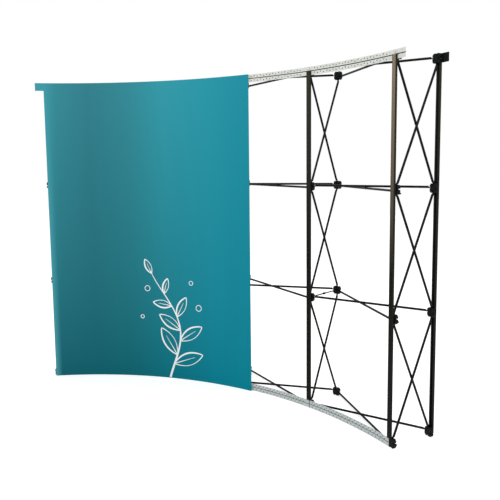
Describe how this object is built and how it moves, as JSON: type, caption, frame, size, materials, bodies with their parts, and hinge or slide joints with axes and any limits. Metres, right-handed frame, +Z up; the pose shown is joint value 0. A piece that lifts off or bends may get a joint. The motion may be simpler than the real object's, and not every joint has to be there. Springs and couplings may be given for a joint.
{
  "type": "pop up display backwall",
  "caption": "Curved free-standing display wall: folding lattice of crossed struts and hubs, upright bars, top and foot strips, and a printed film over part of the front.",
  "frame": {"origin": "middle of the footprint on the floor", "axes": "+X along the wall's width, +Z up; the hollow front with the film faces -Y"},
  "size_m": [3.0744, 0.7696, 2.229],
  "materials": {
    "hub_plastic": "moulded, fine grain",
    "strut_paint": "black coated tube, satin",
    "bar_paint": "dark coated channel, satin",
    "strip_plastic": "pale, slightly glossy",
    "film_print": "laminated print, soft sheen"
  },
  "bodies": {
    "frame": {"column_1_chain_a": "hub_plastic", "column_1_chain_b": "hub_plastic", "column_2_chain_a": "hub_plastic", "column_2_chain_b": "hub_plastic", "column_3_chain_a": "hub_plastic", "column_3_chain_b": "hub_plastic", "column_4_chain_a": "hub_plastic", "column_4_chain_b": "hub_plastic", "column_5_chain_a": "hub_plastic", "column_5_chain_b": "hub_plastic", "bay_1_level_1_strut_a": "strut_paint", "bay_1_level_1_strut_b": "strut_paint", "bay_1_level_2_strut_a": "strut_paint", "bay_1_level_2_strut_b": "strut_paint", "bay_1_level_3_strut_a": "strut_paint", "bay_1_level_3_strut_b": "strut_paint", "bay_1_level_4_strut_a": "strut_paint", "bay_1_level_4_strut_b": "strut_paint", "top_strip_1": "strip_plastic", "bottom_strip_1": "strip_plastic", "bay_2_level_1_strut_a": "strut_paint", "bay_2_level_1_strut_b": "strut_paint", "bay_2_level_2_strut_a": "strut_paint", "bay_2_level_2_strut_b": "strut_paint", "bay_2_level_3_strut_a": "strut_paint", "bay_2_level_3_strut_b": "strut_paint", "bay_2_level_4_strut_a": "strut_paint", "bay_2_level_4_strut_b": "strut_paint", "top_strip_2": "strip_plastic", "bottom_strip_2": "strip_plastic", "bay_3_level_1_strut_a": "strut_paint", "bay_3_level_1_strut_b": "strut_paint", "bay_3_level_2_strut_a": "strut_paint", "bay_3_level_2_strut_b": "strut_paint", "bay_3_level_3_strut_a": "strut_paint", "bay_3_level_3_strut_b": "strut_paint", "bay_3_level_4_strut_a": "strut_paint", "bay_3_level_4_strut_b": "strut_paint", "top_strip_3": "strip_plastic", "bottom_strip_3": "strip_plastic", "bay_4_level_1_strut_a": "strut_paint", "bay_4_level_1_strut_b": "strut_paint", "bay_4_level_2_strut_a": "strut_paint", "bay_4_level_2_strut_b": "strut_paint", "bay_4_level_3_strut_a": "strut_paint", "bay_4_level_3_strut_b": "strut_paint", "bay_4_level_4_strut_a": "strut_paint", "bay_4_level_4_strut_b": "strut_paint", "top_strip_4": "strip_plastic", "bottom_strip_4": "strip_plastic", "top_wing_left": "strip_plastic", "top_wing_right": "strip_plastic"},
    "front_bar_1": {"front_bar_1": "bar_paint"},
    "rear_bar_left": {"rear_bar_left": "bar_paint"},
    "front_bar_2": {"front_bar_2": "bar_paint"},
    "front_bar_3": {"front_bar_3": "bar_paint"},
    "front_bar_4": {"front_bar_4": "bar_paint"},
    "front_bar_5": {"front_bar_5": "bar_paint"},
    "rear_bar_right": {"rear_bar_right": "bar_paint"},
    "printed_film": {"printed_film": "film_print"}
  },
  "joints": [
    {"name": "front_bar_1_lift", "type": "slide", "parent": "frame", "child": "front_bar_1", "axis": [0, 0, 1], "range_m": [0, 0.02]},
    {"name": "rear_bar_left_lift", "type": "slide", "parent": "frame", "child": "rear_bar_left", "axis": [0, 0, 1], "range_m": [0, 0.02]},
    {"name": "front_bar_2_lift", "type": "slide", "parent": "frame", "child": "front_bar_2", "axis": [0, 0, 1], "range_m": [0, 0.02]},
    {"name": "front_bar_3_lift", "type": "slide", "parent": "frame", "child": "front_bar_3", "axis": [0, 0, 1], "range_m": [0, 0.02]},
    {"name": "front_bar_4_lift", "type": "slide", "parent": "frame", "child": "front_bar_4", "axis": [0, 0, 1], "range_m": [0, 0.02]},
    {"name": "front_bar_5_lift", "type": "slide", "parent": "frame", "child": "front_bar_5", "axis": [0, 0, 1], "range_m": [0, 0.02]},
    {"name": "rear_bar_right_lift", "type": "slide", "parent": "frame", "child": "rear_bar_right", "axis": [0, 0, 1], "range_m": [0, 0.02]},
    {"name": "film_pull", "type": "slide", "parent": "frame", "child": "printed_film", "axis": [0, -1, 0], "range_m": [0, 0.15]}
  ]
}
